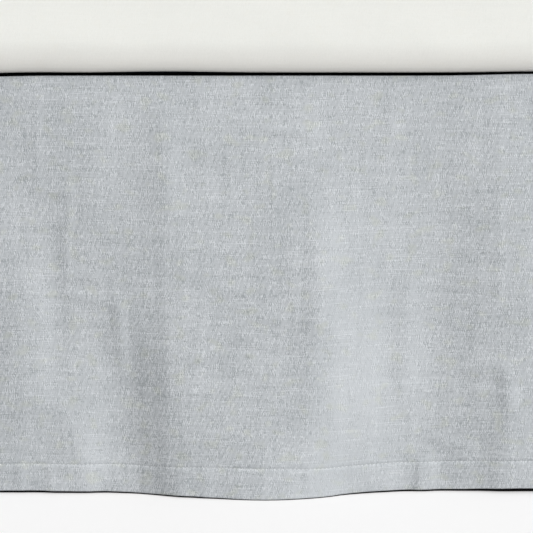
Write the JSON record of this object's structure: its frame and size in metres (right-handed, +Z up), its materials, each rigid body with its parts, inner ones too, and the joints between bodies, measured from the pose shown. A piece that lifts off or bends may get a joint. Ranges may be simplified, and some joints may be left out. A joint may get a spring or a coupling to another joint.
{
  "type": "bed skirt on a bed with mattress, box spring and bed frame",
  "caption": "Tailored bed skirt with split corners, its deck held between mattress and box spring, its drops hanging in soft folds to just above the floor.",
  "frame": {"origin": "on the floor, under the middle of the whole bed's box", "axes": "+X along the bed from the open head end to the foot, +Y across it to the far side, +Z up; the near side faces -Y"},
  "size_m": [2.0536, 1.5692, 0.6647],
  "materials": {
    "skirt_linen": "matte slubbed linen weave, pale blue-grey",
    "deck_cotton": "matte plain cotton, off white",
    "sheet_cotton": "smooth matte cotton sateen, warm white",
    "box_spring_ticking": "matte woven ticking, plain",
    "frame_steel": "satin dark paint",
    "glide_plastic": "moulded, matte black"
  },
  "bodies": {
    "root": {"skirt_deck": "deck_cotton", "skirt_drop_near": "skirt_linen", "skirt_drop_far": "skirt_linen", "skirt_drop_foot": "skirt_linen", "mattress": "sheet_cotton", "box_spring": "box_spring_ticking", "side_rail_near": "frame_steel", "side_rail_far": "frame_steel", "cross_rail_head": "frame_steel", "cross_rail_middle": "frame_steel", "cross_rail_foot": "frame_steel", "leg_head_near": "frame_steel", "leg_head_centre": "frame_steel", "leg_head_far": "frame_steel", "leg_middle_near": "frame_steel", "leg_middle_centre": "frame_steel", "leg_middle_far": "frame_steel", "leg_foot_near": "frame_steel", "leg_foot_centre": "frame_steel", "leg_foot_far": "frame_steel", "glide_head_near": "glide_plastic", "glide_head_centre": "glide_plastic", "glide_head_far": "glide_plastic", "glide_middle_near": "glide_plastic", "glide_middle_centre": "glide_plastic", "glide_middle_far": "glide_plastic", "glide_foot_near": "glide_plastic", "glide_foot_centre": "glide_plastic", "glide_foot_far": "glide_plastic"}
  },
  "joints": []
}
